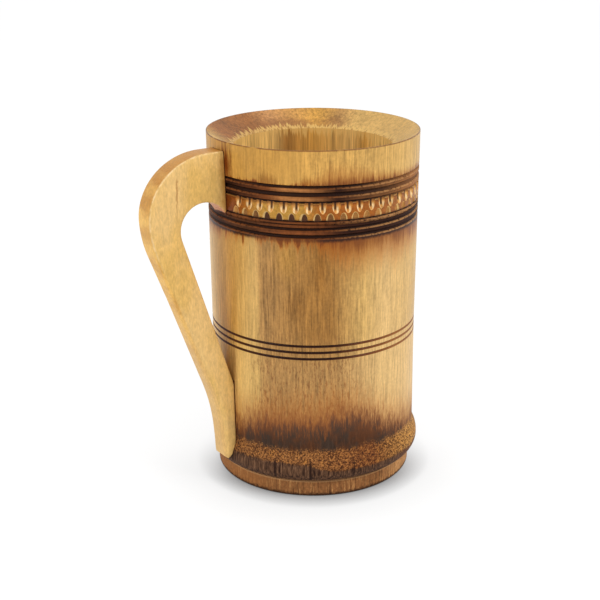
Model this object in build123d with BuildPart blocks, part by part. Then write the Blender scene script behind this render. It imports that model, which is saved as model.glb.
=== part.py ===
"""Bamboo cup: a turned length of culm with a plank handle, coped, glued and dowelled to its wall.

Millimetres. The cup stands on the XY plane with its axis on Z, and the handle points along -X.
"""

import os
from math import acos, atan2, cos, degrees, hypot, radians, sin

from build123d import *

# Culm: heights above the foot's underside, radii from the cup's axis
cup_height = 152.4
wall_radius = 45.0
waist_height = 67.2
waist_draw = 0.2
rim_flare = 0.55
wall_thickness = 10.7
lip_width = 0.4
bevel_depth = 7.2
floor_height = 15.0
floor_round = 4.0

# Foot ring, and the swollen node ridge above it
foot_draw = 1.7
foot_height = 7.2
foot_round = 1.0
foot_ring_width = 9.8
recess_depth = 7.5
notch_draw = 0.6
notch_rise = 0.6
ridge_swell = 2.1
ridge_rise = 5.2
shoulder_rise = 9.8

# Ridge pared nearly flush with the wall behind the handle: degrees round from the handle
pared_swell = 0.1
pared_start = 6.0
pared_end = 55.0

# Turned grooves round the upper wall: drop below the rim, width, depth
upper_grooves = [
    (14.8, 1.5, 0.8),
    (17.9, 2.2, 1.0),
    (21.1, 1.2, 0.7),
    (28.9, 1.0, 0.6),
    (30.3, 0.8, 0.5),
    (32.2, 1.5, 0.8),
    (35.3, 1.8, 0.9),
]

# Fine grooves round the waist
waist_groove_count = 3
waist_groove_pitch = 2.8
waist_groove_width = 0.9
waist_groove_depth = 0.5

# Handle plank: distances out from the wall, drops below the rim, rises above the tip, lean in degrees
handle_thickness = 10.8
handle_lean = 1.7
handle_reach = 35.3
handle_drop = 4.1
crown_start = 7.0
crown_height = 25.5
ease_radius = 46.0
arch_distance = 10.2
arch_drop = 35.5
arch_radius = 11.1
leg_join_rise = 35.5
knee_depth = 7.2
knee_rise = 24.7
knee_radius = 80.0
toe_depth = 4.8
toe_round = 1.2
tip_flat = 1.3
tip_curve_width = 4.0
tip_curve_rise = 10.0
tip_sink = 0.5
arris_round = 1.0
root_depth = 5.0

# Adhesive and dowels that hold the handle
glue_thickness = 0.4
dowel_clearance = 0.1
dowel_end_gap = 0.5
upper_dowel_radius = 3.0
upper_dowel_in_wall = 6.0
upper_dowel_in_handle = 14.0
upper_dowel_drops = (5.5, 15.0)
lower_dowel_radius = 2.0
lower_dowel_in_wall = 5.0
lower_dowel_in_handle = 5.0
lower_dowel_rise = 18.1

# Radii and heights that follow from the sizes above
rim_radius = wall_radius + rim_flare
bore_radius = wall_radius - wall_thickness
foot_radius = wall_radius - foot_draw
recess_radius = foot_radius - foot_ring_width
waist_radius = wall_radius - waist_draw
ridge_radius = wall_radius + ridge_swell
notch_radius = foot_radius - notch_draw
notch_height = foot_height + notch_rise
ridge_height = notch_height + ridge_rise
wall_start = ridge_height + shoulder_rise
handle_top = cup_height - handle_drop
tip_height = ridge_height - tip_sink
lean_height = (handle_top + tip_height) / 2

# The plank's middle plane leans, and crosses the cup's axis at lean_height.
# Its x runs out from the axis and its y up the plank, from lean_height.
handle_plane = Plane(
    origin=(0, 0, lean_height),
    x_dir=(-1, 0, 0),
    z_dir=(0, cos(radians(handle_lean)), -sin(radians(handle_lean))),
)


def wall_radius_at(height):
    """Outside radius of the plain wall, which narrows to the waist and flares to the rim."""
    if height < waist_height:
        share = (height - wall_start) / (waist_height - wall_start)
        return wall_radius + share * (waist_radius - wall_radius)
    share = (height - waist_height) / (cup_height - waist_height)
    return waist_radius + share * (rim_radius - waist_radius)


def culm_outline(growth):
    """Half outline of the filled culm without grooves, grown outwards by a given amount."""
    foot = foot_radius + growth
    notch = notch_radius + growth
    ridge = ridge_radius + growth
    wall = wall_radius + growth
    pull = shoulder_rise / 2
    Polyline((0, cup_height), (0, 0), (foot - foot_round, 0))
    CenterArc((foot - foot_round, foot_round), foot_round, -90, 90)
    Polyline((foot, foot_round), (foot, foot_height), (notch, notch_height))
    EllipticalCenterArc((notch, ridge_height), ridge - notch, ridge_rise, start_angle=-90, arc_size=90)
    Bezier(
        (ridge, ridge_height),
        (ridge, ridge_height + pull),
        (wall, wall_start - pull),
        (wall, wall_start),
    )
    Polyline(
        (wall, wall_start),
        (waist_radius + growth, waist_height),
        (rim_radius + growth, cup_height),
        (0, cup_height),
    )


def groove_outline(height, width, depth):
    """V-shaped section of one turned groove, widened past the wall so that it cuts clean."""
    wall = wall_radius_at(height)
    Polyline(
        (wall - depth, height),
        (wall + depth, height + width),
        (wall + depth, height - width),
        close=True,
    )


def slope_to_arc(start, centre, radius):
    """Degrees from upright of the line that rises from a point and touches an arc's outer side."""
    across = start[0] - centre[0]
    up = start[1] - centre[1]
    return degrees(-atan2(up, across) - acos(radius / hypot(across, up)))


def dowel_bar(height, radius, in_wall, in_handle, mode=Mode.ADD):
    """Round bar in the plank's middle plane, reaching into the wall and into the handle."""
    start = handle_plane.from_local_coords((wall_radius - in_wall, height - lean_height, 0))
    with BuildSketch(Plane(start, x_dir=handle_plane.y_dir, z_dir=handle_plane.x_dir)) as section:
        Circle(radius)
    extrude(section.sketch, amount=in_wall + in_handle, mode=mode)


def dowel_holes():
    """Holes for all three dowels, with their clearance, cut from the part in hand."""
    for drop in upper_dowel_drops:
        dowel_bar(
            handle_top - drop,
            upper_dowel_radius + dowel_clearance,
            upper_dowel_in_wall + dowel_end_gap,
            upper_dowel_in_handle + dowel_end_gap,
            mode=Mode.SUBTRACT,
        )
    dowel_bar(
        tip_height + lower_dowel_rise,
        lower_dowel_radius + dowel_clearance,
        lower_dowel_in_wall + dowel_end_gap,
        lower_dowel_in_handle + dowel_end_gap,
        mode=Mode.SUBTRACT,
    )


# Filled culm without grooves: the shape that the wall presents to the handle
with BuildPart() as culm:
    with BuildSketch(Plane.XZ):
        with BuildLine():
            culm_outline(0)
        make_face()
    revolve(axis=Axis.Z)

# The same shape grown by the adhesive: the shape that the handle is coped to
with BuildPart() as cope:
    with BuildSketch(Plane.XZ):
        with BuildLine():
            culm_outline(glue_thickness)
        make_face()
    revolve(axis=Axis.Z)

# Plank before coping: sawn to its outline, arrises eased
with BuildPart() as plank:
    with BuildSketch(handle_plane):
        root = wall_radius - root_depth
        top = handle_top - lean_height
        tip = tip_height - lean_height
        crown_end = wall_radius + handle_reach
        crown = (wall_radius + crown_start, top - crown_height)
        arch = (wall_radius + arch_distance, cup_height - arch_drop - lean_height)
        ease_centre = (crown_end - ease_radius, crown[1])
        knee = (wall_radius + knee_depth, tip + knee_rise)
        toe = (wall_radius + toe_depth, tip)
        tip_start = (toe[0] - tip_flat, tip)
        tip_end = (tip_start[0] - tip_curve_width, tip + tip_curve_rise)
        leg_join = (wall_radius, tip + leg_join_rise)
        leg_outer_slope = slope_to_arc(knee, ease_centre, ease_radius)
        leg_inner_slope = slope_to_arc(leg_join, arch, arch_radius)
        with BuildLine():
            # Outer edge: flat top, elliptical crown, then an easing arc into the slope of the leg
            Line((root, top), (crown[0], top))
            EllipticalCenterArc(crown, crown_end - crown[0], crown_height, arc_size=90)
            ease = CenterArc(ease_centre, ease_radius, 0, -leg_outer_slope)
            FilletPolyline(ease @ 1, knee, toe, tip_start, radius=[knee_radius, toe_round])
            # Tip that curves in to the wall, the root inside it, the inner edge of the leg, and the arch
            EllipticalCenterArc(
                (tip_start[0], tip_end[1]), tip_curve_width, tip_curve_rise, start_angle=180, arc_size=90
            )
            bow = CenterArc(arch, arch_radius, -leg_inner_slope, 180 + leg_inner_slope)
            Polyline(tip_end, (root, tip_end[1]), (root, leg_join[1]), leg_join, bow @ 0)
            Polyline(bow @ 1, (root, arch[1]), (root, top))
        make_face()
    extrude(amount=handle_thickness / 2, both=True)
    broad_faces = plank.faces().filter_by(handle_plane)
    fillet(
        broad_faces.edges().filter_by(lambda edge: -edge.center().X > wall_radius),
        radius=arris_round,
    )

# Cup body: grooved and pared on the outside, bored from the top, bevelled at the lip, hollowed under the foot
with BuildPart() as cup_body:
    add(culm.part)
    with BuildSketch(Plane.XZ.rotated((0, 0, 180 - pared_end))):
        with BuildLine():
            pared_radius = wall_radius + pared_swell
            pared_reach = ridge_radius + ridge_swell
            Polyline(
                (pared_radius, notch_height),
                (pared_reach, notch_height),
                (pared_reach, wall_start),
                (pared_radius, wall_start),
                close=True,
            )
        make_face()
    revolve(axis=Axis.Z, revolution_arc=pared_end - pared_start, mode=Mode.SUBTRACT)
    for drop, width, depth in upper_grooves:
        with BuildSketch(Plane.XZ):
            with BuildLine():
                groove_outline(cup_height - drop, width, depth)
            make_face()
        revolve(axis=Axis.Z, mode=Mode.SUBTRACT)
    for number in range(waist_groove_count):
        with BuildSketch(Plane.XZ):
            with BuildLine():
                offset_from_waist = (number - (waist_groove_count - 1) / 2) * waist_groove_pitch
                groove_outline(waist_height + offset_from_waist, waist_groove_width, waist_groove_depth)
            make_face()
        revolve(axis=Axis.Z, mode=Mode.SUBTRACT)
    with BuildSketch(Plane.XZ):
        with BuildLine():
            Polyline((bore_radius - floor_round, floor_height), (0, floor_height), (0, cup_height))
            CenterArc((bore_radius - floor_round, floor_height + floor_round), floor_round, -90, 90)
            Polyline(
                (bore_radius, floor_height + floor_round),
                (bore_radius, cup_height - bevel_depth),
                (rim_radius - lip_width, cup_height),
                (0, cup_height),
            )
        make_face()
    revolve(axis=Axis.Z, mode=Mode.SUBTRACT)
    with BuildSketch(Plane.XY):
        Circle(recess_radius)
    extrude(amount=recess_depth, mode=Mode.SUBTRACT)
    dowel_holes()
cup_body.part.label = "cup_body"

# Handle: the plank coped to the wall and the ridge, and drilled for its dowels
with BuildPart() as handle:
    add(plank.part)
    add(cope.part, mode=Mode.SUBTRACT)
    dowel_holes()
handle.part.label = "handle"

# Adhesive beds: what is left between the wall and the coped ends of the plank
with BuildPart() as upper_glue:
    add(plank.part)
    add(cope.part, mode=Mode.INTERSECT)
    add(culm.part, mode=Mode.SUBTRACT)
    split(bisect_by=Plane.XY.offset(lean_height), keep=Keep.TOP)
    dowel_holes()
upper_glue.part.label = "upper_glue"

with BuildPart() as lower_glue:
    add(plank.part)
    add(cope.part, mode=Mode.INTERSECT)
    add(culm.part, mode=Mode.SUBTRACT)
    split(bisect_by=Plane.XY.offset(lean_height), keep=Keep.BOTTOM)
    dowel_holes()
lower_glue.part.label = "lower_glue"

# Dowels
with BuildPart() as upper_dowels:
    for drop in upper_dowel_drops:
        dowel_bar(handle_top - drop, upper_dowel_radius, upper_dowel_in_wall, upper_dowel_in_handle)
upper_dowels.part.label = "upper_dowels"

with BuildPart() as lower_dowel:
    dowel_bar(
        tip_height + lower_dowel_rise, lower_dowel_radius, lower_dowel_in_wall, lower_dowel_in_handle
    )
lower_dowel.part.label = "lower_dowel"

os.makedirs("parts", exist_ok=True)
export_step(cup_body.part, "parts/cup_body.step")
export_step(handle.part, "parts/handle.step")
export_step(upper_glue.part, "parts/upper_glue.step")
export_step(lower_glue.part, "parts/lower_glue.step")
export_step(upper_dowels.part, "parts/upper_dowels.step")
export_step(lower_dowel.part, "parts/lower_dowel.step")
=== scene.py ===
import random
from math import acos, atan2, cos, degrees, hypot, pi, radians, sin, tan

import bmesh
import bpy
from mathutils import Matrix, Vector


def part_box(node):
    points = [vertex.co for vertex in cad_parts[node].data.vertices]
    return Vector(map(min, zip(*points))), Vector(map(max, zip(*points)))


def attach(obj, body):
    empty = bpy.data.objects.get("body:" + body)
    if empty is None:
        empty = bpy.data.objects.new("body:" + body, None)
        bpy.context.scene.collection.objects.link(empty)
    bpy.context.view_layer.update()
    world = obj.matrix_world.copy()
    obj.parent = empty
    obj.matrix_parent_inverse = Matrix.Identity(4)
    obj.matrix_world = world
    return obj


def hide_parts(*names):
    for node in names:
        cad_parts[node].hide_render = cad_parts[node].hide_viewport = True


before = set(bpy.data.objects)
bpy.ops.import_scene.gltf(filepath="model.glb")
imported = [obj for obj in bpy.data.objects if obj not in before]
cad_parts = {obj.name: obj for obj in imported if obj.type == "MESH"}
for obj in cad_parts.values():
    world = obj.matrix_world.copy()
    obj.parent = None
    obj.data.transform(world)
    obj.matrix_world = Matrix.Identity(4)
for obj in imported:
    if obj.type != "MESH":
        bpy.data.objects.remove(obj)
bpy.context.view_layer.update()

# Sizes are in millimetres, and MM turns them into metres
MM = 0.001

# Culm: heights above the foot's underside, radii from the cup's axis
_, cup_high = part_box("cup_body")
cup_height = cup_high.z / MM
ridge_radius = cup_high.x / MM
wall_radius = 45.0
waist_height = 67.2
waist_radius = 44.8
rim_radius = 45.55
rim_round = 0.2
bore_radius = 34.3
lip_width = 0.4
bevel_depth = 7.2
floor_height = 15.0
floor_round = 4.0

# Foot ring, node ridge, and the recess under the foot
foot_radius = 43.3
foot_height = 7.2
foot_round = 1.0
foot_edge_round = 0.35
recess_radius = 33.5
recess_depth = 7.5
recess_round = 0.6
notch_radius = 42.7
notch_height = 7.8
ridge_height = 13.0
wall_start = 22.8

# Ridge pared nearly flush with the wall behind the handle: degrees round from the handle
pared_radius = 45.1
pared_start = 6.0
pared_end = 55.0

# Turned grooves: height, width, depth
upper_grooves = [
    (137.6, 1.5, 0.8),
    (134.5, 2.2, 1.0),
    (131.3, 1.2, 0.7),
    (123.5, 1.0, 0.6),
    (122.1, 0.8, 0.5),
    (120.2, 1.5, 0.8),
    (117.1, 1.8, 0.9),
]
waist_grooves = [(70.0, 0.9, 0.5), (67.2, 0.9, 0.5), (64.4, 0.9, 0.5)]

# Painted highlights on the lower edges of the grooves, where light catches them: bottom, top, strength
groove_edge_highlights = [
    (136.60, 137.15, 0.85),
    (133.10, 133.70, 0.85),
    (130.45, 130.95, 0.40),
    (121.90, 123.20, 0.80),
    (119.20, 119.75, 0.85),
    (115.95, 116.50, 0.85),
]

# Stains on the plain wall, and painted highlights and shade among them: direction, height, half width in
# degrees, half height, strength, colour
wall_stains_and_painted_light = [
    (-24, 92, 6, 18, 0.55, (150, 110, 62)),
    (-14, 108, 8, 11, 0.50, (190, 140, 62)),
    (-9, 88, 8, 9, 0.55, (138, 92, 38)),
    (4, 104, 4.5, 17, 0.70, (138, 90, 32)),
    # Painted highlight: a narrow pale streak down the left
    (-31.5, 98, 2.2, 22, 0.60, (224, 180, 108)),
    # Painted reflection: a pale glow low on the left
    (-41, 52, 6, 17, 0.80, (226, 184, 110)),
    (-24, 139, 7, 4.5, 0.80, (144, 92, 30)),
    (-3, 139, 3.5, 4.5, 0.70, (150, 96, 32)),
    # Painted shadow and reflection of the handle's arm on the wall beside it
    (-52, 143, 7, 12, 1.00, (116, 54, 10)),
    # Scorch, and painted shade beside the handle's leg
    (-49.5, 50, 3, 22, 0.60, (130, 80, 30)),
]

# Carved band: two rows of gouge marks, each mark with a half width, a length and a depth
band_top = 131.1
band_bottom = 123.6
flute_count = 54
flute_turn = -41.9
flute_row_shift = -2.4
flute_bare_half = 12.0
flute_wander = 0.5
flute_widths = (0.9, 1.08)
flute_seed = 11
upper_flute = (1.75, 4.6, 1.05)
lower_flute = (1.65, 3.35, 0.75)
band_margin = 0.7
band_rings = 8

# Handle plank, as in the solids: distances out from the axis, heights above the floor
handle_thickness = 10.8
handle_lean = 1.7
handle_top = 148.3
tip_height = 12.5
crown_start = 52.0
crown_end = 80.3
crown_height = 25.5
ease_radius = 46.0
arch_distance = 55.2
arch_height = 116.9
arch_radius = 11.1
leg_join_rise = 35.5
knee_distance = 52.2
knee_rise = 24.7
knee_radius = 80.0
toe_distance = 49.8
toe_round = 1.2
tip_flat = 1.3
tip_curve_width = 4.0
tip_curve_rise = 10.0
root_radius = 40.0
glue_thickness = 0.4
lean_height = (handle_top + tip_height) / 2

# Arrises of the handle: crisp round the crown and the arch, soft down the outside of the leg
crisp_arris = 0.9
soft_arris = 3.0
soft_start = 122.0
soft_end = 88.0
plank_dome = 0.2
tip_ease_rise = 4.0
tip_ease_share = 0.15

# Directions round the wall are in degrees from the side that faces the camera, and grow to the right
front_direction = -123.0
handle_angle = -57.0

# Fineness of the meshes
turn_segments = 384
weld_distance = 0.002 * MM
cup_crisp_angle = 32
plank_crisp_angle = 35
crown_steps = 60
ease_steps = 20
knee_steps = 16
toe_steps = 6
spoke_count = 72
leg_steps = 64
lane_count = 6
arris_limit = 0.45
outer_arris_steps = 6
inner_arris_steps = 4
corner_steps = 3
foot_steps = 5
floor_steps = 6
ridge_steps = 10
shoulder_steps = 12
groove_steps = 8
gouge_segments = 20
gouge_rings = 12

# Looks of the wall: two numbers are where a look starts and is full, three are a span and its softness
upper_skin = (117, 138)
lower_skin = (76, 58)
# Painted highlight strip down the left of the wall, standing for a reflection of the lamps: its edges,
# heights and where it grows stronger
highlight_strip_left = (-47, -42)
highlight_strip_right = (-30.5, -32.5)
highlight_strip_heights = (38, 96, 10)
highlight_strip_strong = (66, 50)
calm_rim = (134, 140)
calm_rim_turn = 27
lively_left = (-36, -26)
lively_right = (16, 40)
dash_directions = (-34, 24, 9)
dash_heights = (82, 62)
rim_line = (151.75, 152.2)
rough_foot = (40, 20)

# Scorch above the first groove and under the last: reach, and its shares by direction round the wall
first_groove = upper_grooves[0][0]
over_start = (136.8, 138.0)
over_reach = 12
over_shares_behind = 0.15
over_shares = [
    (-12, 0.10), (0, 0.40), (9, 0.80), (22, 0.75), (32, 0.50), (45, 0.35), (72, 0.25),
]
under_height = 116.5
under_start = (118, 116)
under_reach = 20
under_shares_behind = 0.5
under_shares = [
    (-50, 0.25), (-41, 0.22), (-25, 0.15), (-2, 0.15), (8, 0.45), (18, 0.80), (30, 0.80), (49, 0.80),
    (60, 0.70), (72, 0.55),
]
under_edge = (114.2, 115.6)
under_spared = (-30, 2, 6)

# Grooved zone: lands between the grooves, the band's floor and its borders of painted shade, burns and the
# painted highlights on their lower edges
upper_lands = (130.9, 138.0, 0.2)
lower_lands = (116.3, 123.9, 0.2)
band_floor = (band_bottom + 0.3, band_top - 0.4, 0.2)
# Painted shade along the top and bottom of the band's floor
band_top_shade = (129.4, 130.6)
band_bottom_shade = (124.8, 124.0)
burn_depths = (0.12, 0.45)
above_waist = (100, 101)
burn_shares_behind = 0.8
burn_shares = [
    (-60, 0.8), (-44, 0.86), (-30, 0.96), (14, 0.96), (28, 0.88), (38, 0.7), (50, 0.5), (68, 0.36),
]
spared_heights = (136.4, 136.8)
burnt_front = (-33, 29, 6)
unlit_front = (-27, 1, 5)
waist_line = (-0.70, 0.32)
line_soft = 0.15

# Node ridge and foot: the burn's edge and the char's edge by direction, and the drying cracks
burn_base = 20
burn_reach = 20
burn_run = 9
burn_edge_behind = 0.65
burn_edge = [
    (-60, 0.45), (-44, 0.48), (-34, 0.69), (-27, 0.76), (-18, 0.74), (-5, 0.75), (16, 0.90),
    (30, 0.87), (40, 0.61), (50, 0.43), (60, 0.33), (72, 0.16), (110, 0.5),
]
ridge_top = (23.6, 20.6)
char_base = 12
char_reach = 6
char_soft = 0.6
char_edge_behind = 0.7
char_edge = [
    (-5, 0.75), (9, 0.3), (18, 0.22), (46, 0.25), (72, 0.15),
]
char_right = (56, 100, 10)
split_places = [(-20.5, 0.45), (-1.5, 0.55), (22.0, 0.3)]
split_turn_soft = 0.25
split_heights = (8.5, 18.0, 1.5)
foot_top = (7.6, 7.2)
foot_lit_edge = (6.4, 6.9)
foot_dark_edge = (2.2, 0.6)
foot_streaks = (-24, 90, 14)

# Lip and bore: browned parts, and tips of fibres round the mouth of the bore
lip_calm = (70, 150, 20)
lip_brown_left = (-180, -130, 8)
lip_brown_right = (158, 180, 6)
lip_brown_radii = (bore_radius + 6.5, bore_radius + 3.0)
tip_length = 4.0
ragged_heights = (142.2, 144.2)

# Gouge marks: distances from a mark's middle, and heights of the looks in each row; the upper row has
# painted highlights on its flanks and painted shade at its top and down its middle
highlight_flank_inside = (0.3, 0.8)
highlight_flank_outside = (1.5, 1.1)
highlight_flank_heights = (130.0, 128.4)
# Painted shade at the top and down the middle of the upper marks
mark_top_shade = (129.6, 130.8)
mark_middle_shade = (0.75, 0.25)
mark_middle_shade_heights = (127.4, 128.6)
low_mark_size = (1.45, 3.3)
low_mark_foot = (124.4, 123.8)
row_change = (126.4, 127.2)

# Looks of the plank: depths below its broad faces, distances out from the axis, and heights
edge_depths = (0.3, 1.1)
crown_gold = (122, 143)
leg_pale = (95, 45)
# Painted highlight along the front arrises of the crown
arris_highlight_outside = (0.05, 0.2)
arris_highlight_inside = (0.9, 0.5)
arris_highlight_heights = (96, 118)
# Painted shade along the back arrises of the crown
back_arris_shade_depths = (0.8, 0.3)
back_arris_shade_heights = (110, 130)
root_out = (49.0, 45.5)
root_top = (147.5, 144)
root_bottom = (105, 115)
under_arch_out = (54, 52)
under_arch_top = (129, 127)
under_arch_bottom = (108, 112)
flaw_out = 67.4
flaw_level = 140
flaw_slope = 0.04
flaw_width = (0.6, 0.2)
flaw_top = (141, 138)
flaw_bottom = (118, 136)
flaw_front = (4.5, 5.0)

# Textures: waves to the millimetre along each axis, levels of detail, and how rough those are
fine_fibres = ((0.95, 0.95, 0.02), 4.0, 0.75)
short_fibres = ((1.1, 1.1, 0.11), 4.0, 0.75)
broad_fibres = ((0.28, 0.28, 0.012), 3.0, 0.55)
even_grain = ((0.8, 0.8, 0.8), 3.0, 0.6)
fibre_ends = ((1.3, 1.3, 0.32), 3.0, 0.7)
# Painted highlights along the crests of the lands between the grooves
crest_highlight_lines = ((0.05, 0.05, 2.2), 2.0, 0.6)
burn_flecks = ((1.2, 1.2, 0.2), 4.0, 0.75)
burn_patches = ((0.12, 0.12, 0.08), 3.0, 0.6)
ridge_dots = ((1.4, 1.4, 1.4), 4.0, 0.8)
ridge_lumps = ((0.45, 0.45, 0.45), 3.0, 0.65)
upright_cracks = ((1.3, 1.3, 0.10), 4.0, 0.75)
foot_mottle = ((0.9, 0.9, 0.5), 3.0, 0.7)
lip_dots = ((0.85, 0.85, 0.3), 4.0, 0.8)
lip_cloud = ((0.12, 0.12, 0.12), 3.0, 0.55)
frayed_tips = ((0.75, 0.75, 0.0), 3.0, 0.7)
bore_streaks = ((0.42, 0.42, 0.012), 3.0, 0.6)
bore_fibres = ((0.8, 0.8, 0.02), 4.0, 0.75)
sawn_dots = ((0.9, 0.9, 0.2), 2.0, 0.55)
sawn_cloud = ((0.08, 0.08, 0.08), 2.0, 0.5)
plank_cloud = ((0.06, 0.06, 0.03), 3.0, 0.55)
plank_mottle = ((0.5, 0.5, 0.3), 4.0, 0.65)
plank_grain = ((0.9, 0.9, 0.05), 3.0, 0.6)
plank_flecks = ((1.6, 1.6, 0.5), 2.0, 0.6)
edge_bands = ((0.22, 0.05, 0.12), 3.0, 0.6)
glue_lumps = ((0.8, 0.8, 0.8), 2.0, 0.5)
dowel_grain = ((0.05, 1.2, 1.2), 3.0, 0.5)

# Depths of the textures' relief
fibre_relief = 0.05
lip_relief = 0.06
sawn_relief = 0.08
glue_relief = 0.1

# Floor and its painted shadow: sizes in metres, and millimetres ahead of the axis over which the shadow
# grows
floor_size = 6.0
floor_grey = (0.86, 0.86, 0.86, 1)
floor_front = (-20, 32)
near_shadow = 0.012
far_shadow = 0.045
shadow_samples = 12

# Strengths of the floor's shadow and of its glow
shadow_bend = 0.4
back_shadow = 0.2
floor_glow = 1.1
glow_share = 0.8

# Lamps: name, direction, then distance out, height and width in metres, and power in watts
lamps = [
    ("right_softbox", 62, 0.80, 0.75, 0.45, 4.1),
    ("left_softbox", -48, 0.90, 0.60, 0.40, 2.8),
]

# Strength of the white surroundings for bounced light, where the camera sees them at 1
bounced_light = 0.7

# Camera, fitted to the photograph
camera_sensor = 36.0
camera_lens = 76.634
camera_distance = 537.1 * MM
camera_height = 261.35 * MM
camera_turn = -32.376
camera_dip = 19.154
camera_roll = -0.246


# Helpers for modelling


def deselect_all():
    """Leaves nothing selected, so that an operator acts only on the piece in hand."""
    bpy.ops.object.select_all(action="DESELECT")


def pick(*pieces):
    """Selects these pieces alone, with the first one active."""
    deselect_all()
    for piece in pieces:
        piece.select_set(True)
    bpy.context.view_layer.objects.active = pieces[0]


def arc_points(centre, radii, start, end, steps):
    """Points of an elliptical arc from one angle to another, in degrees, with both ends."""
    turns = [radians(start + (end - start) * step / steps) for step in range(steps + 1)]
    return [(centre[0] + radii[0] * cos(turn), centre[1] + radii[1] * sin(turn)) for turn in turns]


def round_points(centre, radius, start, end, steps):
    """Points of a circular arc, as for an elliptical one."""
    return arc_points(centre, (radius, radius), start, end, steps)


def edit_all():
    """Opens the active piece for editing, with all of it selected."""
    bpy.ops.object.mode_set(mode="EDIT")
    bpy.ops.mesh.select_all(action="SELECT")


def close_skin():
    """Welds the piece being edited, turns its faces outwards, and ends the editing."""
    bpy.ops.mesh.select_all(action="SELECT")
    bpy.ops.mesh.remove_doubles(threshold=weld_distance)
    bpy.ops.mesh.normals_make_consistent(inside=False)
    bpy.ops.object.mode_set(mode="OBJECT")


def draw_line(name, points):
    """New piece that is one line of edges through points in metres, drawn vertex by vertex."""
    deselect_all()
    bpy.ops.mesh.primitive_plane_add(size=MM, location=(0, 0, 0))
    piece = bpy.context.object
    piece.name = name
    piece.data.name = name
    edit_all()
    bpy.ops.mesh.merge(type="CENTER")
    bpy.ops.transform.translate(value=points[0])
    for last, point in zip(points, points[1:]):
        bpy.ops.mesh.extrude_vertices_move(TRANSFORM_OT_translate={"value": point - last})
    bpy.ops.mesh.select_all(action="SELECT")
    return piece


def turn_on_axis(name, profile):
    """Solid of revolution about the cup's axis, from a profile of (radius, height) in millimetres."""
    points = [Vector((radius * MM, 0, height * MM)) for radius, height in profile]
    piece = draw_line(name, points)
    bpy.ops.mesh.spin(steps=turn_segments, angle=2 * pi, center=(0, 0, 0), axis=(0, 0, 1))
    close_skin()
    return piece


def cut_away(piece, cutter):
    """Takes the cutter's shape out of the piece, and keeps the cutter's material on the cut faces."""
    pick(piece)
    bpy.ops.object.modifier_add(type="BOOLEAN")
    cut = piece.modifiers[-1]
    cut.operation = "DIFFERENCE"
    cut.solver = "EXACT"
    cut.material_mode = "TRANSFER"
    cut.object = cutter
    bpy.ops.object.modifier_apply(modifier=cut.name)
    bpy.data.objects.remove(cutter)


def smooth(piece, angle):
    """Smooth shading, with edges sharper than an angle in degrees left crisp."""
    pick(piece)
    bpy.ops.object.shade_smooth_by_angle(angle=radians(angle))


# Helpers for materials


def rgb(red, green, blue):
    """Shader colour of an ordinary 0 to 255 colour, by the sRGB formula."""
    linear = []
    for share in (red / 255, green / 255, blue / 255):
        linear.append(share / 12.92 if share < 0.04045 else ((share + 0.055) / 1.055) ** 2.4)
    return (*linear, 1)


# Colours of the bamboo, from pale skin through brown to char

straw = rgb(222, 183, 120)
butter = rgb(225, 184, 108)
wheat = rgb(206, 166, 98)
honey = rgb(195, 145, 68)
hazel = rgb(174, 131, 76)
toffee = rgb(156, 110, 52)
fawn = rgb(187, 135, 84)
amber = rgb(214, 155, 80)
ginger = rgb(196, 128, 54)
copper = rgb(176, 122, 60)
ochre = rgb(178, 131, 53)
bronze = rgb(154, 100, 54)
walnut = rgb(140, 92, 52)
rust = rgb(152, 84, 22)
ember = rgb(166, 90, 14)
chestnut = rgb(132, 76, 38)
umber = rgb(110, 60, 27)
russet = rgb(96, 41, 10)
bark = rgb(78, 45, 24)
soot = rgb(46, 20, 9)
ink = rgb(35, 16, 9)
ash = rgb(52, 41, 33)


class Field:
    """A value that changes over a surface: a shader socket that takes part in Python arithmetic."""

    def __init__(self, finish, socket):
        self.finish = finish
        self.socket = socket

    def math(self, operation, first, second):
        """What a maths operation makes of two values, or of the first alone."""
        return self.finish.node("ShaderNodeMath", {"operation": operation}, {0: first, 1: second})

    def __add__(self, other):
        return self.math("ADD", self, other)

    def __radd__(self, other):
        return self.math("ADD", other, self)

    def __sub__(self, other):
        return self.math("SUBTRACT", self, other)

    def __rsub__(self, other):
        return self.math("SUBTRACT", other, self)

    def __mul__(self, other):
        return self.math("MULTIPLY", self, other)

    def __rmul__(self, other):
        return self.math("MULTIPLY", other, self)

    def __truediv__(self, other):
        return self.math("DIVIDE", self, other)


def swing(noise, amount):
    """Noise made to swing about zero, over a range of the given amount."""
    return amount * (noise - 0.5)


def rise(value, low, high):
    """0 below low, 1 above high, and smooth between them. It falls where low is above high."""
    sockets = {"Value": value, "From Min": low, "From Max": high}
    return value.finish.node("ShaderNodeMapRange", {"interpolation_type": "SMOOTHSTEP"}, sockets)


def mix(share, first, second):
    """Colour between two others, by a share that changes over the surface."""
    settings = {"data_type": "RGBA", "blend_type": "MIX"}
    return share.finish.node("ShaderNodeMix", settings, {0: share, 6: first, 7: second}, 2)


def tint(colour, level):
    """Colour made darker or lighter by a level near 1 that changes over the surface."""
    shade = level.finish.node("ShaderNodeCombineXYZ", {}, {0: level, 1: level, 2: level})
    settings = {"data_type": "RGBA", "blend_type": "MULTIPLY"}
    return level.finish.node("ShaderNodeMix", settings, {0: 1.0, 6: colour, 7: shade}, 2)


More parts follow.
